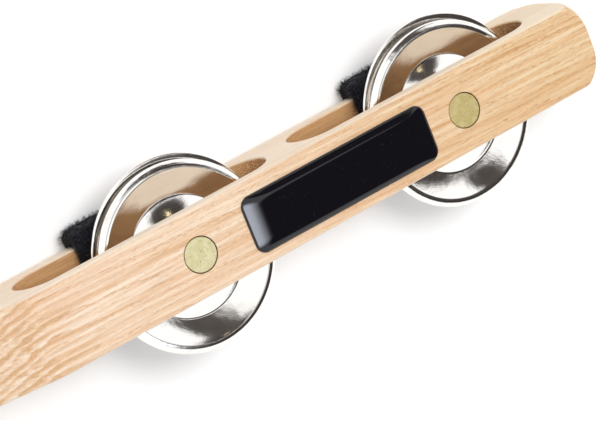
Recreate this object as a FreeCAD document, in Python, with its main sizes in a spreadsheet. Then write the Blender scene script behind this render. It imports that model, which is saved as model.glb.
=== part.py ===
"""Jingle stick: a square ash bar with two long slots, two loose pairs of stamped
jingles on brass pins, a domed name plate left plain and two fleece straps.

The stick lies on its back. X runs along it towards the tip, Y runs across it
through the slots and Z points out of the front face. The origin is at the
bottom centre of the whole object.
"""
import FreeCAD, Part
import math
import os

import Sketcher
from FreeCAD import Placement, Rotation, Vector

os.makedirs("parts", exist_ok=True)
doc = FreeCAD.newDocument("JingleStick")

# Driving dimensions in millimetres
SIZES = {
    "stick_length": 304.0,
    "stick_width": 24.5,
    "stick_depth": 27.0,
    "end_round": 13.0,
    "end_over_side": 3.5,
    "end_over_face": 4.5,
    "edge_round": 0.8,
    "mouth_round": 0.5,
    "slot_length": 83.0,
    "slot_height": 18.0,
    "front_wall": 4.5,
    "slot_shift": 7.2,
    "ramp_lead": 1.3,
    "ramp_length": 21.0,
    "ramp_drop": 6.2,
    "ramp_round": 14.0,
    "tip_to_pin": 50.6,
    "pin_spacing": 92.8,
    "pin_below_middle": 0.42,
    "head_diameter": 10.0,
    "head_thickness": 2.0,
    "head_gap": 0.2,
    "head_chamfer": 0.15,
    "shank_diameter": 4.0,
    "shank_gap": 0.05,
    "shank_grip": 3.5,
    "jingle_diameter": 54.2,
    "jingle_sheet": 0.8,
    "bead_width": 2.1,
    "dome_diameter": 36.0,
    "dome_rise": 2.6,
    "dish_depth": 1.5,
    "hole_diameter": 8.2,
    "label_length": 64.0,
    "label_width": 17.0,
    "label_thickness": 1.3,
    "label_corner": 3.2,
    "label_dome": 1.0,
    "label_drop": 0.1,
    "label_start": 16.2,
    "strap_width": 15.0,
    "left_strap_lead": 25.0,
    "right_strap_lead": 21.0,
    "strap_back": 1.7,
    "strap_side": 4.5,
    "strap_inner": 1.8,
    "strap_gap": 0.3,
    "left_front_x": 0.45,
    "left_front_y": -1.3,
    "left_front_depth": 8.8,
    "left_rear_x": 0.85,
    "left_rear_y": 0.2,
    "left_rear_depth": 15.2,
    "right_front_x": 0.7,
    "right_front_y": -1.5,
    "right_front_depth": 8.8,
    "right_rear_x": 1.7,
    "right_rear_y": 0.2,
    "right_rear_depth": 14.3,
}

# The angles that each jingle leans about X and about Y, in degrees
ANGLES = {
    "left_front_angle_x": -4.5,
    "left_front_angle_y": 1.0,
    "left_rear_angle_x": 0.0,
    "left_rear_angle_y": 0.0,
    "right_front_angle_x": 0.0,
    "right_front_angle_y": 1.5,
    "right_rear_angle_x": 0.0,
    "right_rear_angle_y": 0.0,
}

# The jingles hang in pairs, the front one facing the front and the rear one the
# back. Each has cells of its own for how far its middle lies from the pin along X
# and Y, and how far its rim plane lies behind the front face.
SIDES = ("left", "right")
WAYS = ("front", "rear")

sheet = doc.addObject("Spreadsheet::Sheet", "Sizes")
for row, (alias, amount) in enumerate({**SIZES, **ANGLES}.items(), start=1):
    sheet.set("A%d" % row, alias)
    sheet.set("B%d" % row, str(amount))
    sheet.setAlias("B%d" % row, alias)
doc.recompute()


def size(alias):
    """The number in the named cell."""
    return float(sheet.get(alias))


def cells(text):
    """An expression in which $name stands for the named cell."""
    return text.replace("$", "Sizes.")


def worked_out(owner, text):
    """The value of an expression over the cells."""
    value = owner.evalExpression(cells(text))
    return float(getattr(value, "Value", value))


# Places worked out from the cells, as expressions over them
BACK = "($strap_back + $strap_gap)"
FRONT = "(%s + $stick_depth)" % BACK
TIP = "($stick_length / 2)"
HANDLE = "(0 - $stick_length / 2)"
RIGHT_PIN = "(%s - $tip_to_pin)" % TIP
LEFT_PIN = "(%s - $pin_spacing)" % RIGHT_PIN
SLOT_TOP = "(%s - $front_wall)" % FRONT
SLOT_BOTTOM = "(%s - $slot_height)" % SLOT_TOP
SLOT_MIDDLE = "(%s - $slot_height / 2)" % SLOT_TOP
RAMP_START = "(%s - $slot_shift - $slot_length / 2 - $ramp_lead)" % LEFT_PIN
PINS = {"left": LEFT_PIN, "right": RIGHT_PIN}

# The whole object is centred across, so the pins stand off the middle by half
# the difference of the jingles that reach furthest each way.
OFFSETS = "; ".join("$%s_%s_y" % (side, way) for side in SIDES for way in WAYS)
PIN_Y = "(0 - (max(%s) + min(%s)) / 2)" % (OFFSETS, OFFSETS)
STICK_Y = "(%s + $pin_below_middle)" % PIN_Y


def near(a, b):
    """Whether two coordinates count as the same place."""
    return math.isclose(a, b, abs_tol=1e-4)


def new_body(label):
    """An empty body with a label of its own."""
    body = doc.addObject("PartDesign::Body", label)
    body.Label = label
    return body


def new_sketch(body, name, plane, offset=None):
    """A sketch on one of the body's origin planes, moved along its normal."""
    sketch = body.newObject("Sketcher::SketchObject", name)
    support = [o for o in body.Origin.OriginFeatures if o.Role == plane][0]
    sketch.AttachmentSupport = (support, [""])
    sketch.MapMode = "FlatFace"
    if offset:
        sketch.setExpression("AttachmentOffset.Base.z", cells(offset))
    return sketch


def middle_of_arc(start, end, radius, side):
    """A point half way along the arc from start to end that bulges to a side."""
    chord = end - start
    half = chord.Length / 2
    rise = radius - math.sqrt(max(radius * radius - half * half, 0.0))
    normal = Vector(-chord.y, chord.x, 0).normalize()
    return (start + end) * 0.5 + normal * (rise * side)


def add_outline(sketch, points, bends=None, tag="p"):
    """A closed outline through points given as expressions. A bend turns the
    side that starts at its point into an arc: a radius and the side it bulges to,
    1 to the left of its direction and -1 to the right. An arc always runs
    anticlockwise, so one that bulges to the left is drawn from its end."""
    bends = bends or {}
    places = [Vector(worked_out(sketch, x), worked_out(sketch, y), 0) for x, y in points]
    count = len(points)
    for index in range(count):
        start = places[index]
        end = places[(index + 1) % count]
        if index in bends:
            radius, side = bends[index]
            middle = middle_of_arc(start, end, worked_out(sketch, radius), side)
            edge = Part.Arc(start, middle, end) if side < 0 else Part.Arc(end, middle, start)
        else:
            edge = Part.LineSegment(start, end)
        sketch.addGeometry(edge, False)
    first = sketch.GeometryCount - count
    ends = []
    for index in range(count):
        geometry = sketch.Geometry[first + index]
        forward = near((geometry.StartPoint - places[index]).Length, 0)
        ends.append((1, 2) if forward else (2, 1))
    for index in range(count):
        following = (index + 1) % count
        sketch.addConstraint(Sketcher.Constraint(
            "Coincident", first + index, ends[index][1], first + following, ends[following][0]))
    for index, (x, y) in enumerate(points):
        for kind, text, letter in (("DistanceX", x, "x"), ("DistanceY", y, "y")):
            place = sketch.addConstraint(Sketcher.Constraint(
                kind, -1, 1, first + index, ends[index][0], worked_out(sketch, text)))
            bind(sketch, place, "%s%d%s" % (tag, index, letter), text)
    for index, (radius, side) in bends.items():
        place = sketch.addConstraint(Sketcher.Constraint(
            "Radius", first + index, worked_out(sketch, radius)))
        bind(sketch, place, "%s%dr" % (tag, index), radius)


def add_circle(sketch, x, y, diameter, tag):
    """A circle whose centre and diameter follow the cells."""
    centre = Vector(worked_out(sketch, x), worked_out(sketch, y), 0)
    radius = worked_out(sketch, diameter) / 2
    index = sketch.addGeometry(Part.Circle(centre, Vector(0, 0, 1), radius), False)
    for kind, text, letter in (("DistanceX", x, "x"), ("DistanceY", y, "y")):
        place = sketch.addConstraint(Sketcher.Constraint(
            kind, -1, 1, index, 3, worked_out(sketch, text)))
        bind(sketch, place, tag + letter, text)
    place = sketch.addConstraint(Sketcher.Constraint("Diameter", index, 2 * radius))
    bind(sketch, place, tag + "d", diameter)


def bind(sketch, place, name, text):
    """Name a constraint and let it follow the cells."""
    sketch.renameConstraint(place, name)
    sketch.setExpression("Constraints." + name, cells(text))


def pad(body, sketch, length, name):
    """Material from the sketch along its normal."""
    feature = body.newObject("PartDesign::Pad", name)
    feature.Profile = sketch
    feature.setExpression("Length", cells(length))
    doc.recompute()
    return feature


def pocket(body, sketch, name, length=None, away=False):
    """A cut through the whole body both ways, or of a given depth one way. A cut
    that points away from the material takes nothing off, so that is checked."""
    before = body.Shape.Volume
    feature = body.newObject("PartDesign::Pocket", name)
    feature.Profile = sketch
    if length:
        feature.setExpression("Length", cells(length))
        feature.Reversed = away
    else:
        feature.Type = "ThroughAll"
        feature.SideType = "Symmetric"
    doc.recompute()
    if near(body.Shape.Volume, before):
        raise ValueError(name + " cuts nothing")
    return feature


def round_edges(body, name, radius, chosen):
    """Round the edges of the body's last feature that chosen picks."""
    base = body.Tip
    picked = ["Edge%d" % (i + 1) for i, edge in enumerate(base.Shape.Edges) if chosen(edge)]
    if not picked:
        raise ValueError(name + " finds no edge")
    feature = body.newObject("PartDesign::Fillet", name)
    feature.Base = (base, picked)
    feature.setExpression("Radius", cells(radius))
    doc.recompute()
    return feature


def flat_at(edge, axis, place):
    """Whether the whole edge lies in the plane where an axis has one value."""
    box = edge.BoundBox
    return near(getattr(box, axis + "Min"), place) and near(getattr(box, axis + "Max"), place)


def is_sharp(shape, edge):
    """Whether two faces meet at the edge with a turn that a hand would feel."""
    point = edge.valueAt((edge.FirstParameter + edge.LastParameter) / 2)
    normals = []
    for face in shape.ancestorsOfType(edge, Part.Face):
        normals.append(face.normalAt(*face.Surface.parameter(point)))
    return len(normals) == 2 and normals[0].getAngle(normals[1]) > math.radians(20)


def make_stick():
    """The ash bar: slots through both sides, pin bores, ramp and rounded ends."""
    body = new_body("stick")
    # The ends are those of a larger block with round edges, from which the bar is cut
    block = new_sketch(body, "BlockOutline", "XY_Plane", "(%s - $end_over_face)" % BACK)
    block_low = "(%s - $stick_width / 2 - $end_over_side)" % STICK_Y
    block_high = "(%s + $stick_width / 2 + $end_over_side)" % STICK_Y
    add_outline(block, [(HANDLE, block_low), (TIP, block_low), (TIP, block_high),
                        (HANDLE, block_high)])
    pad(body, block, "($stick_depth + 2 * $end_over_face)", "Block")
    round_edges(body, "EndRounds", "$end_round", lambda e: True)
    sides = new_sketch(body, "StickSides", "YZ_Plane")
    low = "(%s - $stick_width / 2)" % STICK_Y
    high = "(%s + $stick_width / 2)" % STICK_Y
    far_low = "(%s - $end_round)" % block_low
    far_high = "(%s + $end_round)" % block_high
    floor = "(%s - $end_over_face - $end_round)" % BACK
    roof = "(%s + $end_over_face + $end_round)" % FRONT
    add_outline(sides, [(far_low, floor), (far_high, floor), (far_high, roof),
                        (far_low, roof)], tag="o")
    add_outline(sides, [(low, BACK), (high, BACK), (high, FRONT), (low, FRONT)], tag="i")
    pocket(body, sides, "BarFaces")

    ramp = new_sketch(body, "RampSide", "XZ_Plane")
    ramp_end = "(%s - $ramp_length)" % RAMP_START
    handle_top = "(%s - $ramp_drop)" % FRONT
    above = "(%s + $ramp_drop)" % FRONT
    beyond = "(%s - $end_round)" % HANDLE
    add_outline(ramp, [(RAMP_START, FRONT), (ramp_end, handle_top), (beyond, handle_top),
                       (beyond, above), (RAMP_START, above)])
    pocket(body, ramp, "HandleRamp")
    start = worked_out(sheet, RAMP_START)
    end = worked_out(sheet, ramp_end)
    round_edges(body, "RampKinks", "$ramp_round",
                lambda e: flat_at(e, "X", start) and flat_at(e, "Z", worked_out(sheet, FRONT))
                or flat_at(e, "X", end) and flat_at(e, "Z", worked_out(sheet, handle_top)))

    bar = body.Tip.Shape
    round_edges(body, "EdgeRounds", "$edge_round", lambda e: is_sharp(bar, e))

    slots = new_sketch(body, "SlotSides", "XZ_Plane")
    for side, pin in PINS.items():
        radius = "($slot_height / 2)"
        left = "(%s - $slot_shift - $slot_length / 2 + $slot_height / 2)" % pin
        right = "(%s - $slot_shift + $slot_length / 2 - $slot_height / 2)" % pin
        add_slot(slots, left, right, radius, side)
    pocket(body, slots, "Slots")

    slot_low = worked_out(sheet, SLOT_BOTTOM)
    slot_high = worked_out(sheet, SLOT_TOP)
    round_edges(body, "SlotMouths", "$mouth_round",
                lambda e: near(e.BoundBox.YLength, 0) and e.BoundBox.XMin > start
                and slot_low <= e.CenterOfMass.z <= slot_high
                and e.BoundBox.XMax < worked_out(sheet, TIP) - size("end_round"))

    heads = new_sketch(body, "HeadSeats", "XY_Plane", FRONT)
    shanks = new_sketch(body, "ShankBores", "XY_Plane", FRONT)
    for side, pin in PINS.items():
        add_circle(heads, pin, PIN_Y, "($head_diameter + 2 * $head_gap)", side)
        add_circle(shanks, pin, PIN_Y, "($shank_diameter + 2 * $shank_gap)", side)
    pocket(body, heads, "PinHeadSeats", "$head_thickness")
    pocket(body, shanks, "PinBores", "($front_wall + $slot_height + $shank_grip)")
    return body


def add_slot(sketch, left, right, radius, tag):
    """A slot outline with a half round at each end."""
    low = "(%s - %s)" % (SLOT_MIDDLE, radius)
    high = "(%s + %s)" % (SLOT_MIDDLE, radius)
    far_left = "(%s - %s)" % (left, radius)
    far_right = "(%s + %s)" % (right, radius)
    points = [(left, low), (right, low), (far_right, SLOT_MIDDLE), (right, high),
              (left, high), (far_left, SLOT_MIDDLE)]
    bends = {1: (radius, -1), 2: (radius, -1), 4: (radius, -1), 5: (radius, -1)}
    add_outline(sketch, points, bends, tag)


def make_pin(side):
    """A brass pin: a flat head let into the front face and a long thin shank."""
    body = new_body("pin_" + side)
    head = new_sketch(body, "Head", "XY_Plane", "(%s - $head_thickness)" % FRONT)
    add_circle(head, PINS[side], PIN_Y, "$head_diameter", "head")
    pad(body, head, "$head_thickness", "PinHead")
    reach = "($front_wall - $head_thickness + $slot_height + $shank_grip)"
    shank = new_sketch(body, "Shank", "XY_Plane", "(%s - $head_thickness - %s)" % (FRONT, reach))
    add_circle(shank, PINS[side], PIN_Y, "$shank_diameter", "shank")
    pad(body, shank, reach, "PinShank")
    top = worked_out(sheet, FRONT)
    base = body.Tip
    rim = ["Edge%d" % (i + 1) for i, e in enumerate(base.Shape.Edges) if flat_at(e, "Z", top)]
    chamfer = body.newObject("PartDesign::Chamfer", "HeadChamfer")
    chamfer.Base = (base, rim)
    chamfer.setExpression("Size", cells("$head_chamfer"))
    doc.recompute()
    return body


def make_jingle(side, way):
    """One stamped jingle: a round dome in a shallow dish with a rolled rim. It is
    drawn with its rim plane at zero and its dome upwards, and then placed."""
    name = "%s_%s" % (side, way)
    body = new_body("jingle_" + name)
    section = new_sketch(body, "Section", "XZ_Plane")
    bead = "($bead_width / 2)"
    outer = "($jingle_diameter / 2)"
    inner = "(%s - $bead_width)" % outer
    base = "($dome_diameter / 2)"
    bore = "($hole_diameter / 2)"
    rise = "($dome_rise + $dish_depth)"
    dome = "((%s * %s + %s * %s) / (2 * %s))" % (base, base, rise, rise, rise)
    crown = "($dome_rise - %s + sqrt(%s ^ 2 - %s ^ 2))" % (dome, dome, bore)
    span = "(%s - %s)" % (inner, base)
    dish = "((%s ^ 2 + $dish_depth ^ 2) / (2 * $dish_depth))" % span
    under = "(0 - $dish_depth - $jingle_sheet)"
    below = "(0 - $jingle_sheet)"
    points = [
        (bore, crown),
        (base, "(0 - $dish_depth)"),
        (inner, "0"),
        ("(%s - %s)" % (outer, bead), bead + " - $jingle_sheet / 2"),
        (outer, "(0 - $jingle_sheet / 2)"),
        ("(%s - %s)" % (outer, bead), "(0 - $jingle_sheet / 2 - %s)" % bead),
        (inner, below),
        (base, under),
        (bore, "(%s - $jingle_sheet)" % crown),
    ]
    bends = {
        0: (dome, 1),
        1: (dish, -1),
        2: (bead, 1),
        3: (bead, 1),
        4: (bead, 1),
        5: (bead, 1),
        6: (dish, 1),
        7: (dome, -1),
    }
    add_outline(section, points, bends)
    feature = body.newObject("PartDesign::Revolution", "Stamping")
    feature.Profile = section
    feature.ReferenceAxis = (section, ["V_Axis"])
    feature.Angle = 360
    doc.recompute()

    angle_x = Rotation(Vector(1, 0, 0), size(name + "_angle_x"))
    angle_y = Rotation(Vector(0, 1, 0), size(name + "_angle_y"))
    facing = Rotation(Vector(1, 0, 0), 180 if way == "rear" else 0)
    body.Placement = Placement(Vector(), angle_x * angle_y * facing)
    body.setExpression("Placement.Base.x", cells("%s + $%s_x" % (PINS[side], name)))
    body.setExpression("Placement.Base.y", cells("%s + $%s_y" % (PIN_Y, name)))
    body.setExpression("Placement.Base.z", cells("%s - $%s_depth" % (FRONT, name)))
    return body


def make_label():
    """The domed plate on the front face, between the pins, with nothing on it."""
    body = new_body("label")
    plan = new_sketch(body, "Plan", "XY_Plane", FRONT)
    left = "(%s + $label_start)" % LEFT_PIN
    right = "(%s + $label_length)" % left
    low = "(%s - $label_drop - $label_width / 2)" % PIN_Y
    high = "(%s + $label_width)" % low
    add_outline(plan, [(left, low), (right, low), (right, high), (left, high)])
    pad(body, plan, "$label_thickness", "Plate")
    round_edges(body, "Corners", "$label_corner",
                lambda e: near(e.BoundBox.XLength, 0) and near(e.BoundBox.YLength, 0))
    top = worked_out(sheet, FRONT) + size("label_thickness")
    round_edges(body, "Dome", "$label_dome", lambda e: flat_at(e, "Z", top))
    return body


def make_strap(side):
    """A fleece strap closed round the back bar of a slot, thick where it bulges
    over the bar's two edges."""
    body = new_body("strap_" + side)
    ring = new_sketch(body, "Ring", "YZ_Plane", "(%s - $%s_strap_lead)" % (PINS[side], side))
    half = "($stick_width / 2 + $strap_gap)"
    low = "(%s - %s)" % (STICK_Y, half)
    high = "(%s + %s)" % (STICK_Y, half)
    floor = "(%s - $strap_gap)" % BACK
    ceiling = "(%s + $strap_gap)" % SLOT_BOTTOM
    add_outline(ring, [
        ("(%s - $strap_side)" % low, "(%s - $strap_back)" % floor),
        ("(%s + $strap_side)" % high, "(%s - $strap_back)" % floor),
        ("(%s + $strap_side)" % high, "(%s + $strap_inner)" % ceiling),
        ("(%s - $strap_side)" % low, "(%s + $strap_inner)" % ceiling),
    ], tag="o")
    add_outline(ring, [(low, floor), (high, floor), (high, ceiling), (low, ceiling)], tag="i")
    pad(body, ring, "$strap_width", "Band")
    outside = worked_out(sheet, "$stick_width / 2 + $strap_gap + $strap_side")
    middle = worked_out(sheet, STICK_Y)
    round_edges(body, "Bulges", "($strap_side / 2)",
                lambda e: near(abs(e.BoundBox.YMin - middle), outside)
                and near(abs(e.BoundBox.YMax - middle), outside) and not near(e.BoundBox.XLength, 0))
    return body


pieces = [make_stick(), make_label()]
pieces += [make_pin(side) for side in PINS]
pieces += [make_strap(side) for side in PINS]
pieces += [make_jingle(side, way) for side in SIDES for way in WAYS]
doc.recompute()

for thing in doc.Objects:
    if "Invalid" in thing.State or "Error" in thing.State:
        raise ValueError("%s failed: %s" % (thing.Name, thing.State))

for piece in pieces:
    shape = piece.Shape
    if shape.isNull() or not shape.isValid():
        raise ValueError("%s has no valid shape" % piece.Label)
    shape.exportStep("parts/%s.step" % piece.Label)
    print(piece.Label, len(shape.Solids), "solid", round(shape.Volume, 1), "mm3")
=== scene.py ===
"""Looks of the jingle stick: a bare ash bar, stamped nickel jingles in loose pairs
on brass pins, a plain black plate under a clear dome, and two fleece straps.

Lengths are in metres. The stick lies on its back with its tip towards +X and its
front face up."""

import math
import random

import bmesh
import bpy
from bpy.props import FloatProperty, FloatVectorProperty, IntProperty, PointerProperty
from mathutils import Matrix, Vector, noise


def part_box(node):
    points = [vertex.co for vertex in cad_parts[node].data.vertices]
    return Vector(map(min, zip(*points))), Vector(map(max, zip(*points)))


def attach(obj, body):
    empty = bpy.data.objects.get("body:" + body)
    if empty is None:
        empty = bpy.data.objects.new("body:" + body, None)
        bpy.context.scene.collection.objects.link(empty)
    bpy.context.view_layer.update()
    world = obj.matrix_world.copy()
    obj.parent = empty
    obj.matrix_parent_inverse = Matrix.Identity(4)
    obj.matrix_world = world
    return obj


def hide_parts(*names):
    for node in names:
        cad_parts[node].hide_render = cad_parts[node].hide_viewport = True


bl_info = {
    "name": "Jingle stick",
    "version": (1, 0, 0),
    "blender": (4, 5, 0),
    "location": "View3D > Sidebar > Jingle stick",
    "description": "Dresses the jingle stick's solids and sets its stage",
    "category": "Object",
}

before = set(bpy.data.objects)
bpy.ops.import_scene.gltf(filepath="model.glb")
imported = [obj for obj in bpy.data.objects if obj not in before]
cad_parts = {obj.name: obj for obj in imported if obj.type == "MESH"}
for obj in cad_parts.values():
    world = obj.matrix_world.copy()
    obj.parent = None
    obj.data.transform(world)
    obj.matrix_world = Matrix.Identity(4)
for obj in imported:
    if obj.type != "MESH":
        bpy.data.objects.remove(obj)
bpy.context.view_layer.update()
MM = 0.001

# The slots in the bar: how far their middles lie from the pins towards the handle,
# half their length, and a little less than the wood in front of and behind them
SLOT_SHIFT = 7.2 * MM
SLOT_REACH = 41.5 * MM
SLOT_WALL = 4.2 * MM

BODY = "frame"
PINS = ("pin_left", "pin_right")
STRAPS = ("strap_left", "strap_right")
WHITE = (1.0, 1.0, 1.0, 1.0)


def shade(red, green, blue):
    """A colour as a screen shows it, 0 to 255 each, as the light it stands for."""
    def light(level):
        level /= 255
        return level / 12.92 if level <= 0.04045 else ((level + 0.055) / 1.055) ** 2.4
    return light(red), light(green), light(blue), 1.0


def colour(name, description, default):
    return FloatVectorProperty(name=name, description=description, subtype="COLOR", size=4,
                               min=0.0, max=1.0, default=default)


def length(name, description, default):
    return FloatProperty(name=name, description=description, unit="LENGTH", min=0.0,
                         default=default, precision=5)


# Sizes and colours that a user would change


class WoodLook(bpy.types.PropertyGroup):
    pale: colour("Pale wood", "Smooth wood between two rows of pores", shade(249, 229, 206))
    middle: colour("Middle tone", "Wood half way through a year's growth", shade(240, 208, 176))
    tan: colour("Tan wood", "Wood just before a row of pores", shade(223, 180, 136))
    pore: colour("Pore", "Inside of the open pores", shade(192, 138, 94))
    warm: colour("Tip's tint", "Warmer tone that the wood takes on towards the tip",
                 (0.91, 0.84, 0.67, 1.0))
    # Painted sheen: a paler colour on the bar's two sides stands in for the light they catch
    side_sheen: colour("Side wood", "Paler wood on the bar's two sides", shade(246, 238, 222))
    inside: colour("Slot wall", "Sawn wood inside the slots", shade(193, 148, 102))
    end_grain: colour("Slot end", "Rough end grain at the slots' ends", shade(160, 116, 76))
    ring: length("Ring width", "Growth in one year", 1.35 * MM)
    across: FloatVectorProperty(name="Ring direction", description="Direction across the year rings",
                                subtype="DIRECTION", default=(0.08, 1.0, -1.37))


class MetalLook(bpy.types.PropertyGroup):
    nickel: colour("Nickel", "Plating of the jingles", (0.925, 0.90, 0.87, 1.0))
    nickel_haze: FloatProperty(name="Nickel roughness", description="Blur of the plating", subtype="FACTOR",
                               min=0.0, max=1.0, default=0.07)
    brass: colour("Brass", "Heads and shanks of the pins", (0.65, 0.58, 0.32, 1.0))
    brass_haze: FloatProperty(name="Brass roughness", description="Blur of the brass", subtype="FACTOR",
                              min=0.0, max=1.0, default=0.48)


class JingleShape(bpy.types.PropertyGroup):
    diameter: length("Diameter", "Across the rolled rim", 54.2 * MM)
    sheet: length("Sheet", "Thickness of the metal", 0.45 * MM)
    hem: length("Hem", "Width of the folded rim", 2.4 * MM)
    dome: length("Dome", "Diameter of the dome's foot", 34.0 * MM)
    rise: length("Dome rise", "Height of the dome's crown over the rim plane", 2.6 * MM)
    dish: length("Dish", "Depth of the dish between dome and rim", 1.78 * MM)
    hole: length("Hole", "Diameter of the centre hole", 8.2 * MM)
    turns: IntProperty(name="Steps round", description="Steps of the spin", min=12, default=64)


class PlateShape(bpy.types.PropertyGroup):
    edge: length("Edge", "Height of the plate's upright edge", 0.35 * MM)
    end_slope: length("End slope", "How far in from its two ends the dome still rises", 12.0 * MM)
    side_slope: length("Side slope", "How far in from its two long sides the dome still rises", 3.6 * MM)
    corner: length("Corner", "Radius of the plate's corners", 3.2 * MM)


class StrapShape(bpy.types.PropertyGroup):
    fleece: colour("Fleece", "Colour of the pile", (0.006, 0.006, 0.009, 1.0))
    pile: length("Pile", "Length of the pile's fibres", 1.7 * MM)
    fibres: IntProperty(name="Fibres", description="Fibres on each strap", min=0, default=5200)


class StageLook(bpy.types.PropertyGroup):
    eye: FloatVectorProperty(name="Camera place", description="Where the camera stands", unit="LENGTH",
                             subtype="TRANSLATION", default=(-0.3205, 0.2172, 0.7938))
    right: FloatVectorProperty(name="Camera right", description="The picture's rightward direction",
                               subtype="DIRECTION", default=(0.7976, -0.3634, 0.4815))
    up: FloatVectorProperty(name="Camera up", description="The picture's upward direction",
                            subtype="DIRECTION", default=(0.4387, 0.8973, -0.0495))
    lens: FloatProperty(name="Lens", description="Focal length in millimetres on a 36 mm sensor",
                        default=188.8)
    room: FloatProperty(name="Room light", description="Light that comes from all round", default=0.64)
    mirrored: FloatProperty(name="Mirrored room", description="How bright the room is in the metal",
                            default=1.14)
    key: FloatProperty(name="Key light", description="Power of the soft lamp, in watts", default=6.0)


LOOKS = {
    "wood": WoodLook,
    "metal": MetalLook,
    "jingle": JingleShape,
    "plate": PlateShape,
    "strap": StrapShape,
    "stage": StageLook,
}


def look(name):
    return getattr(bpy.context.scene, "jingle_stick_" + name)


# Shader nodes


def new_material(name):
    material = bpy.data.materials.new(name)
    material.use_nodes = True
    material.node_tree.nodes.clear()
    return material, material.node_tree


def add(tree, kind, inputs=None, **settings):
    """A node with its settings, and with its inputs set or joined to other nodes."""
    made = tree.nodes.new("ShaderNode" + kind)
    for name, value in settings.items():
        setattr(made, name, value)
    for name, value in (inputs or {}).items():
        if isinstance(value, bpy.types.NodeSocket):
            tree.links.new(value, made.inputs[name])
        else:
            made.inputs[name].default_value = value
    return made


def on_object(tree, scale=(1.0, 1.0, 1.0)):
    """The place on the object, scaled along each axis."""
    place = add(tree, "TexCoord").outputs["Object"]
    return add(tree, "Mapping", {"Vector": place, "Scale": scale}).outputs["Vector"]


def cloud(tree, vector, scale=1.0, detail=2.0, roughness=0.5):
    settings = {"Vector": vector, "Scale": scale, "Detail": detail, "Roughness": roughness}
    return add(tree, "TexNoise", settings).outputs["Fac"]


def maths(tree, operation, first, second=0.0):
    return add(tree, "Math", {0: first, 1: second}, operation=operation).outputs[0]


def remap(tree, value, low, high, start=0.0, end=1.0):
    """The value's range from low to high, smoothly turned into start to end."""
    settings = {"Value": value, "From Min": low, "From Max": high, "To Min": start, "To Max": end}
    return add(tree, "MapRange", settings, interpolation_type="SMOOTHSTEP").outputs["Result"]


def mix(tree, factor, first, second, way="MIX"):
    """Two colours mixed; sockets 6 and 7 are the colour ones."""
    made = add(tree, "Mix", {0: factor, 6: first, 7: second}, data_type="RGBA", blend_type=way)
    return made.outputs[2]


def ramp(tree, value, stops):
    made = add(tree, "ValToRGB", {"Fac": value})
    made.color_ramp.interpolation = "EASE"
    elements = made.color_ramp.elements
    while len(elements) < len(stops):
        elements.new(0.5)
    for element, (place, tone) in zip(elements, stops):
        element.position = place
        element.color = tone
    return made.outputs["Color"]


def surface(tree, **inputs):
    """The shader that the light meets, joined to the material's output."""
    named = {name.replace("_", " "): value for name, value in inputs.items()}
    shader = add(tree, "BsdfPrincipled", named)
    add(tree, "OutputMaterial", {"Surface": shader.outputs["BSDF"]})
    return shader


def bump(tree, height, distance, strength=1.0):
    settings = {"Height": height, "Distance": distance, "Strength": strength}
    return add(tree, "Bump", settings).outputs["Normal"]


def dress(node, material):
    """Give a solid of the frame its material."""
    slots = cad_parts[node].data.materials
    if len(slots):
        for index in range(len(slots)):
            slots[index] = material
    else:
        slots.append(material)


def settle(piece, body, node):
    """Hang a finished piece on its body, in place of the solid that it stands for."""
    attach(piece, body)
    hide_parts(node)


def new_piece(name, bm, material):
    """A smooth-shaded object at the origin from a finished bmesh."""
    for face in bm.faces:
        face.smooth = True
    mesh = bpy.data.meshes.new(name)
    bm.to_mesh(mesh)
    bm.free()
    mesh.materials.append(material)
    piece = bpy.data.objects.new(name, mesh)
    bpy.context.scene.collection.objects.link(piece)
    return piece


# The ash bar


def year_rings(tree, plain, wood):
    """How dark each place of the wood is, from 0 to 1, as its year's growth ends: slanting,
    drifting rings, some of them stronger than others."""
    drift = cloud(tree, on_object(tree, (6.0, 60.0, 60.0)), detail=3.0)
    wander = cloud(tree, on_object(tree, (28.0, 520.0, 520.0)), detail=2.0)
    step = Vector(wood.across).normalized() / wood.ring
    along = add(tree, "VectorMath", {0: plain, 1: tuple(step)}, operation="DOT_PRODUCT").outputs["Value"]
    rings = maths(tree, "ADD", along, maths(tree, "MULTIPLY", drift, 2.6))
    rings = maths(tree, "ADD", rings, maths(tree, "MULTIPLY", wander, 0.9))
    year = maths(tree, "FRACT", rings)
    count = maths(tree, "FLOOR", rings)
    lot = add(tree, "TexWhiteNoise", {"W": count}, noise_dimensions="1D").outputs["Value"]
    growth = maths(tree, "MULTIPLY", remap(tree, year, 0.10, 0.80), remap(tree, year, 0.86, 1.0, 1.0, 0.0))
    return maths(tree, "MULTIPLY", growth, remap(tree, lot, 0.0, 1.0, 0.45, 1.0))


def grain(tree, parts, growth, wood):
    """The wood's tone from its rings, streaks and fine lines. The rings show most on the
    handle, where the face cuts them at a slant."""
    streaks = cloud(tree, on_object(tree, (16.0, 420.0, 420.0)), detail=3.0, roughness=0.6)
    lines = cloud(tree, on_object(tree, (8.0, 1150.0, 1150.0)), detail=2.0, roughness=0.6)
    strong = remap(tree, parts["X"], -0.046, -0.026, 0.95, 0.26)
    blend = maths(tree, "MULTIPLY", growth, strong)
    blend = maths(tree, "ADD", blend, maths(tree, "MULTIPLY", remap(tree, streaks, 0.32, 0.68), 0.30))
    blend = maths(tree, "ADD", blend, maths(tree, "MULTIPLY", remap(tree, lines, 0.34, 0.66), 0.40))
    return ramp(tree, blend, [(0.12, wood.pale), (0.48, wood.middle), (0.92, wood.tan)])


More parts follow.
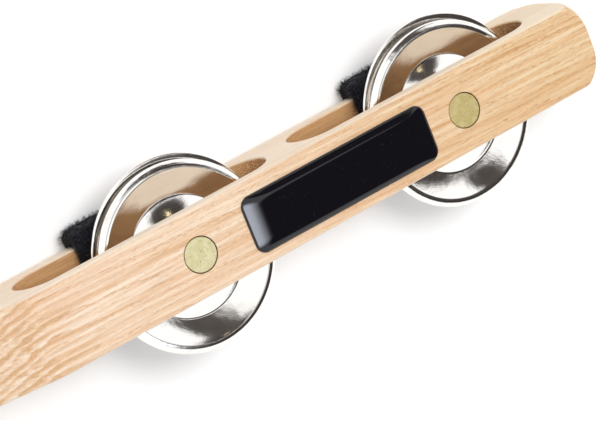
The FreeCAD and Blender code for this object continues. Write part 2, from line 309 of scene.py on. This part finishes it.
def pin_lines(tree, plain, parts, tone):
    """A dark line round each pin's head."""
    flat = add(tree, "VectorMath", {0: plain, 1: (1.0, 1.0, 0.0)}, operation="MULTIPLY").outputs["Vector"]
    for pin in PINS:
        low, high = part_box(pin)
        centre = ((low.x + high.x) / 2, (low.y + high.y) / 2, 0.0)
        away = add(tree, "VectorMath", {0: flat, 1: centre}, operation="DISTANCE").outputs["Value"]
        radius = (high.x - low.x) / 2
        line = remap(tree, away, radius + 0.2 * MM, radius + 0.42 * MM, 0.7, 0.0)
        line = maths(tree, "MULTIPLY", line, maths(tree, "GREATER_THAN", parts["Z"], high.z - 3 * MM))
        tone = mix(tree, line, tone, shade(104, 78, 38))
    return tone


def slot_walls(tree, parts, off, half, sawn, tone):
    """The sawn walls of each slot, and its ends, where the pores show as dots. The right
    slot's ends are painted darker, as painted shade."""
    wood = look("wood")
    low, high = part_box("stick")
    inner = remap(tree, off, half - 0.9 * MM, half - 0.4 * MM, 1.0, 0.0)
    inner = maths(tree, "MULTIPLY", inner, maths(tree, "GREATER_THAN", parts["Z"], low.z + SLOT_WALL))
    inner = maths(tree, "MULTIPLY", inner, maths(tree, "LESS_THAN", parts["Z"], high.z - SLOT_WALL))
    dots = cloud(tree, on_object(tree), 2600.0, 2.0, 0.6)
    rough_end = mix(tree, remap(tree, dots, 0.40, 0.62), wood.end_grain, shade(236, 188, 138))
    # Painted shade: the right slot's ends are darkened
    end_shade = mix(tree, remap(tree, parts["X"], 0.05, 0.13), WHITE, (0.6, 0.58, 0.56, 1.0))
    rough_end = mix(tree, 1.0, rough_end, end_shade, "MULTIPLY")
    for pin in PINS:
        pin_low, pin_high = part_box(pin)
        place = (pin_low.x + pin_high.x) / 2 - SLOT_SHIFT
        span = maths(tree, "ABSOLUTE", maths(tree, "SUBTRACT", parts["X"], place))
        here = maths(tree, "MULTIPLY", inner, maths(tree, "LESS_THAN", span, SLOT_REACH + 0.1 * MM))
        cut = remap(tree, span, SLOT_REACH - 6.5 * MM, SLOT_REACH - 1.5 * MM)
        tone = mix(tree, here, tone, mix(tree, cut, sawn, rough_end))
    return tone


def ash():
    """Bare sanded ash: slanting year rings, each ending in a row of open pores, fine
    fibres along the bar, sides painted paler as a painted sheen, and sawn slots,
    the right one with painted shade at its ends."""
    wood = look("wood")
    material, tree = new_material("ash")
    plain = on_object(tree)
    parts = add(tree, "SeparateXYZ", {0: plain}).outputs
    growth = year_rings(tree, plain, wood)
    tone = grain(tree, parts, growth, wood)

    pores = cloud(tree, on_object(tree, (620.0, 3600.0, 3600.0)), detail=1.0)
    share = maths(tree, "ADD", maths(tree, "MULTIPLY", growth, 0.42), 0.12)
    open_pores = maths(tree, "MULTIPLY", remap(tree, pores, 0.52, 0.64), share)
    tone = mix(tree, open_pores, tone, wood.pore)

    fibres = cloud(tree, on_object(tree, (70.0, 1900.0, 1900.0)), detail=3.0, roughness=0.65)
    blush = cloud(tree, on_object(tree, (12.0, 110.0, 110.0)), detail=2.0)
    tone = mix(tree, remap(tree, blush, 0.45, 0.68, 0.0, 0.32), tone, shade(236, 190, 152))
    lift = remap(tree, fibres, 0.3, 0.7, 0.93, 1.05)
    grey = add(tree, "CombineColor", {"Red": lift, "Green": lift, "Blue": lift}).outputs["Color"]
    tone = mix(tree, 1.0, tone, grey, "MULTIPLY")

    # Warmer towards the tip, and paler on the two sides, which is a painted sheen
    low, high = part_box("stick")
    tone = mix(tree, remap(tree, parts["X"], -0.02, high.x - 10 * MM), tone,
               mix(tree, 1.0, tone, wood.warm, "MULTIPLY"))
    half = (high.y - low.y) / 2
    off = maths(tree, "ABSOLUTE", maths(tree, "SUBTRACT", parts["Y"], (low.y + high.y) / 2))
    side_sheen = remap(tree, off, half - 0.8 * MM, half - 0.1 * MM, 0.0, 0.5)
    tone = mix(tree, side_sheen, tone, wood.side_sheen)

    tone = pin_lines(tree, plain, parts, tone)
    sawn = mix(tree, remap(tree, fibres, 0.3, 0.7), wood.inside, shade(211, 169, 121))
    sawn = mix(tree, open_pores, sawn, wood.pore)
    tone = slot_walls(tree, parts, off, half, sawn, tone)

    height = maths(tree, "SUBTRACT", fibres, maths(tree, "MULTIPLY", open_pores, 1.5))
    rough = remap(tree, fibres, 0.3, 0.7, 0.56, 0.46)
    surface(tree, Base_Color=tone, Roughness=rough, Specular_IOR_Level=0.35,
            Normal=bump(tree, height, 0.03 * MM, 0.5))
    return material


# The metals


def nickel():
    """Bright plating with a faint ripple from the stamp, fine grain, handling marks and painted shade along
    its creases.
    """
    metal = look("metal")
    material, tree = new_material("nickel")
    ripple = cloud(tree, on_object(tree), 170.0, 2.0)
    speckle = cloud(tree, on_object(tree), 2600.0, 2.0, 0.6)
    smear = cloud(tree, on_object(tree, (60.0, 160.0, 160.0)), 1.0, 4.0, 0.6)
    tone = mix(tree, remap(tree, smear, 0.50, 0.80), metal.nickel, (0.78, 0.74, 0.70, 1.0))
    # Painted shade: the crease points marked on the jingle are painted near black
    crease = add(tree, "Attribute", attribute_name="crease").outputs["Fac"]
    tone = mix(tree, remap(tree, crease, 0.35, 0.95, 0.0, 0.85), tone, (0.10, 0.085, 0.07, 1.0))
    rough = remap(tree, smear, 0.35, 0.75, metal.nickel_haze, metal.nickel_haze + 0.06)
    height = maths(tree, "ADD", ripple, maths(tree, "MULTIPLY", speckle, 0.16))
    surface(tree, Base_Color=tone, Metallic=1.0, Roughness=rough,
            Normal=bump(tree, height, 0.25 * MM, 0.35))
    return material


def brass():
    """Flat turned brass with fine scratches, brown stains and small dents. The right
    pin is the duller of the two."""
    metal = look("metal")
    material, tree = new_material("brass")
    dents = add(tree, "TexVoronoi", {"Vector": on_object(tree), "Scale": 900.0}).outputs["Distance"]
    dents = remap(tree, dents, 0.05, 0.22, 1.0, 0.0)
    some = remap(tree, cloud(tree, on_object(tree), 700.0), 0.46, 0.6)
    dents = maths(tree, "MULTIPLY", dents, some)
    rub = cloud(tree, on_object(tree, (900.0, 3200.0, 900.0)), 1.0, 3.0, 0.65)
    stain = cloud(tree, on_object(tree), 420.0, 3.0)
    tone = mix(tree, remap(tree, stain, 0.4, 0.7), metal.brass, (0.72, 0.665, 0.41, 1.0))
    rust = remap(tree, cloud(tree, on_object(tree), 1100.0, 3.0, 0.7), 0.54, 0.72, 0.0, 0.6)
    tone = mix(tree, rust, tone, (0.42, 0.36, 0.15, 1.0))
    tone = mix(tree, dents, tone, (0.30, 0.24, 0.09, 1.0))
    parts = add(tree, "SeparateXYZ", {0: on_object(tree)}).outputs
    dull = mix(tree, 1.0, tone, (1.14, 1.04, 0.82, 1.0), "MULTIPLY")
    tone = mix(tree, remap(tree, parts["X"], 0.03, 0.08), tone, dull)
    rough = remap(tree, rub, 0.3, 0.7, metal.brass_haze - 0.08, metal.brass_haze + 0.1)
    height = maths(tree, "SUBTRACT", maths(tree, "MULTIPLY", rub, 0.4), dents)
    surface(tree, Base_Color=tone, Metallic=1.0, Roughness=rough,
            Normal=bump(tree, height, 0.05 * MM, 0.8))
    return material


# The plate


def plate_black():
    """Black sheet under a thick clear dome, with a few specks of dust in it."""
    material, tree = new_material("plate_black")
    specks = cloud(tree, on_object(tree), 1500.0, 2.0, 0.7)
    specks = remap(tree, specks, 0.66, 0.74, 0.0, 0.35)
    tone = mix(tree, specks, (0.0045, 0.0042, 0.007, 1.0), (0.05, 0.05, 0.065, 1.0))
    wave = cloud(tree, on_object(tree), 90.0, 1.0)
    surface(tree, Base_Color=tone, Roughness=0.5, Specular_IOR_Level=0.0, Coat_Weight=1.0,
            Coat_Roughness=0.04, Coat_IOR=1.5, Normal=bump(tree, wave, 0.3 * MM, 0.3))
    return material


def make_plate(material):
    """The plate: a rounded sheet whose clear top swells smoothly from its edge."""
    shape = look("plate")
    low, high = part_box("label")
    half = Vector(((high.x - low.x) / 2, (high.y - low.y) / 2))
    middle = (low + high) / 2
    swell = high.z - low.z - shape.edge
    bm = bmesh.new()
    bmesh.ops.create_grid(bm, x_segments=96, y_segments=32, size=1.0)

    def lift(distance, slope):
        return 1.0 - (1.0 - min(distance / slope, 1.0)) ** 3

    for vert in bm.verts:
        x, y = vert.co.x * half.x, vert.co.y * half.y
        rise = lift(half.x - abs(x), shape.end_slope) * lift(half.y - abs(y), shape.side_slope)
        across = abs(x) - (half.x - shape.corner)
        along = abs(y) - (half.y - shape.corner)
        if across > 0 and along > 0:
            p, q = across / shape.corner, along / shape.corner
            x = math.copysign(half.x - shape.corner + across * math.sqrt(1 - q * q / 2), x)
            y = math.copysign(half.y - shape.corner + along * math.sqrt(1 - p * p / 2), y)
        vert.co = (middle.x + x, middle.y + y, low.z + shape.edge + swell * rise)
    rim = [edge for edge in bm.edges if edge.is_boundary]
    wall = bmesh.ops.extrude_edge_only(bm, edges=rim)
    for vert in wall["geom"]:
        if isinstance(vert, bmesh.types.BMVert):
            vert.co.z = low.z
    bmesh.ops.holes_fill(bm, edges=[edge for edge in bm.edges if edge.is_boundary])
    bmesh.ops.recalc_face_normals(bm, faces=bm.faces)
    settle(new_piece("domed_plate", bm, material), BODY, "label")


# The fleece


def fleece_black():
    """Short curly pile, nearly black, with a painted highlight: patches of a lighter,
    bluer black stand in for the light on its tips.
    """
    strap = look("strap")
    material, tree = new_material("fleece_black")
    curls = cloud(tree, on_object(tree), 1400.0, 3.0, 0.7)
    # Painted highlight: a lighter, bluer black in patches of the curls
    tone = mix(tree, remap(tree, curls, 0.45, 0.7), strap.fleece, (0.03, 0.032, 0.046, 1.0))
    surface(tree, Base_Color=tone, Roughness=0.9, Specular_IOR_Level=0.15, Sheen_Weight=0.15,
            Sheen_Roughness=0.5, Normal=bump(tree, curls, 0.5 * MM, 1.0))
    return material


# The jingles: pin, way it faces, how far its middle lies from the pin along X and Y
# and its rim plane behind the front face, in millimetres, its lean about X and Y, and
# how steeply its folded rim falls outwards, in degrees
JINGLES = {
    "left_front": ("pin_left", 1, 0.45, -1.3, 8.8, -4.5, 1.0, 26.0),
    "left_rear": ("pin_left", -1, 0.85, 0.2, 15.2, 0.0, 0.0, 22.0),
    "right_front": ("pin_right", 1, 0.7, -1.5, 8.8, 0.0, 1.5, 17.0),
    "right_rear": ("pin_right", -1, 1.7, 0.2, 14.3, 0.0, 0.0, 22.0),
}


def jingle_outline(fall):
    """The jingle's section, from the hole over the dome, the dish and the folded
    rim and back underneath: points of radius and height."""
    shape = look("jingle")
    outer = shape.diameter / 2
    foot = shape.dome / 2
    hole = shape.hole / 2
    rise = shape.rise + shape.dish
    ball = (foot * foot + rise * rise) / (2 * rise)

    def dome(radius):
        return shape.rise - ball + math.sqrt(ball * ball - radius * radius)

    upper = []
    for share in (0.0, 0.2, 0.4, 0.6, 0.8, 0.93):
        radius = hole + (foot - hole) * share
        upper.append((radius, dome(radius)))
    upper.append((foot - 0.12 * MM, dome(foot - 0.12 * MM)))
    foot_line = len(upper)
    upper.append((foot + 0.18 * MM, -1.05 * shape.dish))
    upper.append((foot + 0.55 * MM, -1.06 * shape.dish))
    # The dish is a bowl, steeper and steeper out to the lip
    flat = foot + 1.0 * MM
    lip = outer - shape.hem
    near, far = math.radians(8.5), math.radians(23.5)
    for share in (0.0, 0.25, 0.5, 0.75, 0.94):
        reach = (lip - flat) * share
        upper.append((flat + reach, -shape.dish + math.tan(near + (far - near) * share / 2) * reach))
    lower = [(radius, height - shape.sheet) for radius, height in reversed(upper)]
    crest = -shape.dish + math.tan((near + far) / 2) * (lip - flat) + 0.05 * MM
    turn = lip + 1.1 * MM
    drop = math.tan(math.radians(fall))
    shoulder = crest - 0.10 * MM
    edge = shoulder - (outer - 0.3 * MM - turn) * drop
    under = -1.45 * MM
    lip_line = len(upper)
    upper.append((lip + 0.10 * MM, crest))
    turn_line = lip_line + 2
    hem = [
        (lip + 0.25 * MM, crest),
        (turn - 0.12 * MM, shoulder + 0.01 * MM),
        (turn + 0.12 * MM, shoulder - 0.12 * MM * drop),
        (outer - 0.35 * MM, edge),
        (outer - 0.03 * MM, edge - 0.25 * MM),
        (outer, -1.0 * MM),
        (outer - 0.03 * MM, under + 0.14 * MM),
        (outer - 0.22 * MM, under),
        (outer - 1.2 * MM, under),
        (outer - 2.1 * MM, under + 0.04 * MM),
        (outer - 2.5 * MM, under + 0.28 * MM),
        (outer - 2.55 * MM, under + 0.75 * MM),
    ]
    return upper + hem + lower, (foot_line, lip_line, turn_line)


def make_jingle(name, material):
    """One stamped jingle, spun round its axis and set on its pin. The points of its
    creases are marked, for the painted shade that the nickel draws there."""
    shape = look("jingle")
    pin, way, shift_x, shift_y, depth, lean_x, lean_y, fall = JINGLES[name]
    bm = bmesh.new()
    crease = bm.verts.layers.float.new("crease")
    outline, lines = jingle_outline(fall)
    points = [bm.verts.new((radius, 0.0, height)) for radius, height in outline]
    # Painted shade: how dark each crease is painted
    for line, crease_shade in zip(lines, (1.0, 0.75, 0.75)):
        points[line][crease] = crease_shade
    edges = [bm.edges.new((points[i - 1], points[i])) for i in range(len(points))]
    bmesh.ops.spin(bm, geom=points + edges, cent=(0, 0, 0), axis=(0, 0, 1), angle=2 * math.pi,
                   steps=shape.turns, use_merge=True)
    bmesh.ops.remove_doubles(bm, verts=bm.verts, dist=0.002 * MM)
    bmesh.ops.recalc_face_normals(bm, faces=bm.faces)
    low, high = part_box(pin)
    middle = (low + high) / 2
    place = Vector((middle.x + shift_x * MM, middle.y + shift_y * MM, high.z - depth * MM))
    turn = Matrix.Rotation(math.radians(lean_x), 4, "X") @ Matrix.Rotation(math.radians(lean_y), 4, "Y")
    if way < 0:
        turn = turn @ Matrix.Rotation(math.pi, 4, "X")
    bmesh.ops.transform(bm, matrix=Matrix.Translation(place) @ turn, verts=bm.verts)
    piece = new_piece("nickel_jingle_" + name, bm, material)
    fine = piece.modifiers.new("Smooth", "SUBSURF")
    fine.levels = 2
    fine.render_levels = 2
    settle(piece, name + "_jingle", "jingle_" + name)


# The straps


def strap_ring(node):
    """A closed band round the bar, with its outer corners and edges rounded."""
    low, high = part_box(node)
    stick_low, stick_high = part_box("stick")
    bm = bmesh.new()
    outer = [(low.y, low.z), (high.y, low.z), (high.y, high.z), (low.y, high.z)]
    slack = 0.25 * MM
    inside_top = high.z - 1.8 * MM
    inner = [(stick_low.y - slack, stick_low.z - slack), (stick_high.y + slack, stick_low.z - slack),
             (stick_high.y + slack, inside_top), (stick_low.y - slack, inside_top)]
    loops = []
    for corners in (outer, inner):
        verts = [bm.verts.new((low.x, y, z)) for y, z in corners]
        loops += [bm.edges.new((verts[i - 1], verts[i])) for i in range(4)]
    bmesh.ops.bridge_loops(bm, edges=loops)
    walls = bmesh.ops.extrude_face_region(bm, geom=list(bm.faces))
    moved = [v for v in walls["geom"] if isinstance(v, bmesh.types.BMVert)]
    bmesh.ops.translate(bm, verts=moved, vec=(high.x - low.x, 0, 0))
    bmesh.ops.recalc_face_normals(bm, faces=bm.faces)

    def on_rim(vert):
        return min(abs(vert.co.y - low.y), abs(vert.co.y - high.y),
                   abs(vert.co.z - low.z), abs(vert.co.z - high.z)) < 0.01 * MM

    corners = [e for e in bm.edges if abs(e.verts[0].co.x - e.verts[1].co.x) > MM
               and on_rim(e.verts[0]) and on_rim(e.verts[1])]
    bmesh.ops.bevel(bm, geom=corners, offset=2.6 * MM, segments=3, profile=0.5, affect="EDGES", material=-1)
    ends = [e for e in bm.edges if abs(e.verts[0].co.x - e.verts[1].co.x) < 0.01 * MM
            and on_outside(e, stick_low, stick_high, high)]
    bmesh.ops.bevel(bm, geom=ends, offset=1.3 * MM, segments=2, profile=0.5, affect="EDGES", material=-1)
    return in_order(bm), low, high


def in_order(bm):
    """The same mesh with its edges and faces in the order of their points. Operators
    leave them in another order on every run, and the fibres are drawn by that order."""
    bm.verts.index_update()
    loops = []
    for face in bm.faces:
        around = [vert.index for vert in face.verts]
        first = around.index(min(around))
        loops.append(around[first:] + around[:first])
    ordered = bmesh.new()
    verts = [ordered.verts.new(vert.co) for vert in bm.verts]
    for loop in sorted(loops):
        ordered.faces.new([verts[index] for index in loop])
    bm.free()
    return ordered


def on_outside(edge, stick_low, stick_high, high):
    """Whether an edge of the band lies on its outer surface, away from the bar."""
    middle = (edge.verts[0].co + edge.verts[1].co) / 2
    clear = 0.5 * MM
    beside = middle.y < stick_low.y - clear or middle.y > stick_high.y + clear
    beyond = middle.z < stick_low.z - clear or middle.z > high.z - 0.9 * MM
    sharp = len(edge.link_faces) == 2 and edge.calc_face_angle(0.0) > 0.8
    return (beside or beyond) and sharp


def lump(bm, low, high, seed):
    """Divide the band finely and push it into soft lumps that keep within its height."""
    for longest, cuts in ((3 * MM, 7), (1.6 * MM, 1)):
        long = [e for e in bm.edges if e.calc_length() > longest]
        bmesh.ops.subdivide_edges(bm, edges=long, cuts=cuts, use_grid_fill=True)
        bm = in_order(bm)
    for _ in range(3):
        bmesh.ops.smooth_vert(bm, verts=bm.verts, factor=0.5,
                              use_axis_x=True, use_axis_y=True, use_axis_z=True)
    bmesh.ops.triangulate(bm, faces=bm.faces)
    bm = in_order(bm)
    bmesh.ops.subdivide_edges(bm, edges=bm.edges, cuts=1)
    bm = in_order(bm)
    bm.normal_update()
    offset = Vector((seed * 3.1, seed * 1.7, 0.0))
    for vert in bm.verts:
        coarse = noise.noise(vert.co * 320.0 + offset) * 0.55 * MM
        fine = noise.noise(vert.co * 1100.0 + offset) * 0.35 * MM
        vert.co += vert.normal * (coarse + fine)
        vert.co.z = min(max(vert.co.z, low.z + 0.1 * MM), high.z - 0.1 * MM)
    bm.normal_update()
    return bm


def root_fibres(bm, count, rng):
    """Random places on the band where fibres stand, each with the way the band faces."""
    faces = list(bm.faces)
    roots = []
    for _ in range(count):
        face = rng.choice(faces)
        weights = [rng.random() + 1e-3 for _ in face.verts]
        total = sum(weights)
        root = Vector((0, 0, 0))
        for vert, weight in zip(face.verts, weights):
            root += vert.co * (weight / total)
        roots.append((root, face.normal.copy()))
    return roots


def grow_pile(node, roots, high, rng):
    """The pile as one mesh of fine, curled fibres that thin towards their tips. Under
    the jingles, which come down on it, it is pressed flat."""
    strap = look("strap")
    pressed = high.x - 13 * MM
    curve = bpy.data.curves.new("pile_" + node, "CURVE")
    curve.dimensions = "3D"
    curve.bevel_depth = 0.055 * MM
    curve.bevel_resolution = 0
    for root, normal in roots:
        sway = Vector((rng.uniform(-1, 1), rng.uniform(-1, 1), rng.uniform(-1, 1)))
        reach = strap.pile * rng.uniform(0.35, 1.0)
        heading = (normal + sway * 0.5).normalized()
        curl = heading.cross(sway).normalized() * reach * rng.uniform(0.1, 0.5)
        spline = curve.splines.new("POLY")
        spline.points.add(3)
        for index, point in enumerate(spline.points):
            share = index / 3
            spot = root + heading * (reach * share) + curl * math.sin(share * math.pi)
            spot.z = max(spot.z, 0.05 * MM)
            if root.x > pressed:
                spot.z = min(spot.z, high.z - 0.2 * MM)
            point.co = (spot.x, spot.y, spot.z, 1.0)
            point.radius = 1.0 - 0.7 * share
    strands = bpy.data.objects.new("pile_" + node, curve)
    bpy.context.scene.collection.objects.link(strands)
    bpy.context.view_layer.update()
    evaluated = strands.evaluated_get(bpy.context.evaluated_depsgraph_get())
    pile = bpy.data.meshes.new_from_object(evaluated)
    bpy.data.objects.remove(strands)
    return pile


def make_strap(node, seed, material):
    """A fleece strap: the lumpy band and its pile in one mesh."""
    rng = random.Random(seed)
    bm, low, high = strap_ring(node)
    bm = lump(bm, low, high, seed)
    roots = root_fibres(bm, look("strap").fibres, rng)
    band = new_piece("fleece_" + node, bm, material)
    pile = grow_pile(node, roots, high, rng)
    bm = bmesh.new()
    bm.from_mesh(band.data)
    bm.from_mesh(pile)
    for face in bm.faces:
        face.material_index = 0
    bm.to_mesh(band.data)
    bm.free()
    settle(band, BODY, node)


# The stage


def make_floor():
    """A plain white sheet that keeps the shadows, and is white in the metal too."""
    bm = bmesh.new()
    bmesh.ops.create_grid(bm, x_segments=1, y_segments=1, size=3.0)
    material, tree = new_material("white_sheet")
    path = add(tree, "LightPath").outputs
    seen = maths(tree, "ADD", maths(tree, "MULTIPLY", path["Is Camera Ray"], 0.17),
                 maths(tree, "MULTIPLY", path["Is Glossy Ray"], 0.22))
    paper = add(tree, "BsdfDiffuse", {"Color": (0.96, 0.96, 0.965, 1.0)}).outputs["BSDF"]
    glow = add(tree, "Emission", {"Color": WHITE, "Strength": seen})
    both = add(tree, "AddShader", {0: paper, 1: glow.outputs["Emission"]})
    add(tree, "OutputMaterial", {"Surface": both.outputs["Shader"]})
    new_piece("floor", bm, material)


def make_card(name, direction, along, reach, core, tone, strength):
    """An oval card at reach that only reflections see, facing the middle of the
    object. Past its core it fades until the room behind it shows."""
    away = Vector(direction).normalized()
    first = (Vector(along) - away * away.dot(Vector(along))).normalized()
    turn = Matrix((first, away.cross(first), away)).transposed()
    distance, half_length, half_width = reach
    centre = away * distance + Vector((0.05, 0.0, 0.02))
    bm = bmesh.new()
    bmesh.ops.create_circle(bm, cap_ends=True, radius=1.0, segments=64)
    bmesh.ops.scale(bm, vec=(half_length, half_width, 1.0), verts=bm.verts)
    bmesh.ops.transform(bm, matrix=Matrix.Translation(centre) @ turn.to_4x4(), verts=bm.verts)
    material, tree = new_material(name)
    place = add(tree, "TexCoord").outputs["Object"]
    settings = {"Vector": place, "Location": centre, "Rotation": turn.to_euler(),
                "Scale": (half_length, half_width, 1.0)}
    flat = add(tree, "Mapping", settings, vector_type="TEXTURE").outputs["Vector"]
    off = add(tree, "VectorMath", {0: flat}, operation="LENGTH").outputs["Value"]
    light = add(tree, "Emission", {"Color": tone, "Strength": strength}).outputs["Emission"]
    clear = add(tree, "BsdfTransparent").outputs["BSDF"]
    shown = add(tree, "MixShader", {0: remap(tree, off, core, 1.0), 1: light, 2: clear})
    add(tree, "OutputMaterial", {"Surface": shown.outputs["Shader"]})
    card = new_piece(name, bm, material)
    card.visible_camera = False
    card.visible_diffuse = False
    card.visible_shadow = False
    card.visible_transmission = False


def make_world(stage):
    """Even light from all round, white behind the object and in the metal."""
    world = bpy.data.worlds.new("studio")
    bpy.context.scene.world = world
    world.use_nodes = True
    tree = world.node_tree
    tree.nodes.clear()
    path = add(tree, "LightPath").outputs
    seen = maths(tree, "MULTIPLY", path["Is Camera Ray"], 1.0 - stage.room)
    mirrored = maths(tree, "MULTIPLY", path["Is Glossy Ray"], stage.mirrored - stage.room)
    level = maths(tree, "ADD", maths(tree, "ADD", stage.room, seen), mirrored)
    sky = add(tree, "Background", {"Color": WHITE, "Strength": level})
    add(tree, "OutputWorld", {"Surface": sky.outputs["Background"]})


def make_lamp(name, place, size, watts):
    """A round soft lamp that faces the object and that the metal doesn't show."""
    lamp = bpy.data.lights.new(name, "AREA")
    lamp.shape = "DISK"
    lamp.size = size
    lamp.energy = watts
    made = bpy.data.objects.new(name, lamp)
    made.location = place
    made.rotation_euler = Vector(place).to_track_quat("Z", "Y").to_euler()
    made.visible_glossy = False
    bpy.context.scene.collection.objects.link(made)


def make_camera(stage):
    """The camera, from its place and the picture's two directions."""
    right = Vector(stage.right).normalized()
    up = Vector(stage.up)
    up = (up - right * right.dot(up)).normalized()
    back = right.cross(up)
    data = bpy.data.cameras.new("camera")
    data.sensor_width = 36.0
    data.lens = stage.lens
    data.clip_start = 0.01
    data.clip_end = 20.0
    camera = bpy.data.objects.new("camera", data)
    camera.matrix_world = Matrix.Translation(stage.eye) @ Matrix((right, up, back)).transposed().to_4x4()
    bpy.context.scene.collection.objects.link(camera)
    bpy.context.scene.camera = camera


# The operators


class JINGLESTICK_OT_bar(bpy.types.Operator):
    """Dress the bar in bare ash"""
    bl_idname = "jinglestick.bar"
    bl_label = "Ash bar"

    def execute(self, context):
        dress("stick", ash())
        return {"FINISHED"}


class JINGLESTICK_OT_pins(bpy.types.Operator):
    """Dress the pins in brass"""
    bl_idname = "jinglestick.pins"
    bl_label = "Brass pins"

    def execute(self, context):
        metal = brass()
        for node in PINS:
            dress(node, metal)
        return {"FINISHED"}


class JINGLESTICK_OT_plate(bpy.types.Operator):
    """Make the black plate and its clear dome"""
    bl_idname = "jinglestick.plate"
    bl_label = "Black plate"

    def execute(self, context):
        make_plate(plate_black())
        return {"FINISHED"}


class JINGLESTICK_OT_jingles(bpy.types.Operator):
    """Make the four stamped jingles"""
    bl_idname = "jinglestick.jingles"
    bl_label = "Jingles"

    def execute(self, context):
        metal = nickel()
        for name in JINGLES:
            make_jingle(name, metal)
        return {"FINISHED"}


class JINGLESTICK_OT_straps(bpy.types.Operator):
    """Make the two fleece straps"""
    bl_idname = "jinglestick.straps"
    bl_label = "Fleece straps"

    def execute(self, context):
        pile = fleece_black()
        for seed, node in enumerate(STRAPS, start=1):
            make_strap(node, seed, pile)
        return {"FINISHED"}


class JINGLESTICK_OT_stage(bpy.types.Operator):
    """Set the floor, the light and the camera"""
    bl_idname = "jinglestick.stage"
    bl_label = "Stage"

    def execute(self, context):
        stage = look("stage")
        make_floor()
        make_world(stage)
        make_lamp("key", (0.16, 0.36, 1.08), 0.6, stage.key)
        dark = (1.0, 0.88, 0.82, 1.0)
        cool = (0.84, 0.88, 1.0, 1.0)
        gold = (1.0, 0.82, 0.5, 1.0)
        level = (1.0, 0.0, 0.0)
        make_card("dark_beam", (0.42, 0.33, 0.85), (0.26, -0.52, 0.10), (1.3, 0.54, 0.24), 0.72, dark, 0.08)
        make_card("dark_top", (0.36, 0.60, 0.71), (1.0, 0.0, -0.3), (1.35, 0.58, 0.31), 0.70, dark, 0.06)
        make_card("dark_low", (0.66, -0.31, 0.685), level, (1.4, 0.90, 0.62), 0.80, dark, 0.06)
        make_card("window_card", (0.0, -0.20, 0.98), level, (1.0, 0.28, 0.24), 0.20, cool, 11.0)
        make_card("lamp_card", (0.34, 0.585, 0.74), level, (1.0, 0.04, 0.035), 0.5, gold, 2.5)
        make_camera(stage)
        context.scene.view_settings.view_transform = "Standard"
        return {"FINISHED"}


class JINGLESTICK_PT_panel(bpy.types.Panel):
    """The jingle stick's pieces and looks"""
    bl_idname = "JINGLESTICK_PT_panel"
    bl_label = "Jingle stick"
    bl_space_type = "VIEW_3D"
    bl_region_type = "UI"
    bl_category = "Jingle stick"

    def draw(self, context):
        for step in STEPS:
            self.layout.operator(step.bl_idname)
        for name, group in LOOKS.items():
            box = self.layout.box()
            for prop in group.__annotations__:
                box.prop(look(name), prop)


STEPS = (
    JINGLESTICK_OT_stage,
    JINGLESTICK_OT_bar,
    JINGLESTICK_OT_pins,
    JINGLESTICK_OT_plate,
    JINGLESTICK_OT_jingles,
    JINGLESTICK_OT_straps,
)
CLASSES = tuple(LOOKS.values()) + STEPS + (JINGLESTICK_PT_panel,)


def register():
    for made in CLASSES:
        bpy.utils.register_class(made)
    for name, group in LOOKS.items():
        setattr(bpy.types.Scene, "jingle_stick_" + name, PointerProperty(type=group))


def unregister():
    for name in LOOKS:
        delattr(bpy.types.Scene, "jingle_stick_" + name)
    for made in reversed(CLASSES):
        bpy.utils.unregister_class(made)


def main():
    register()
    for step in STEPS:
        group, name = step.bl_idname.split(".")
        getattr(getattr(bpy.ops, group), name)()


if __name__ == "__main__":
    main()
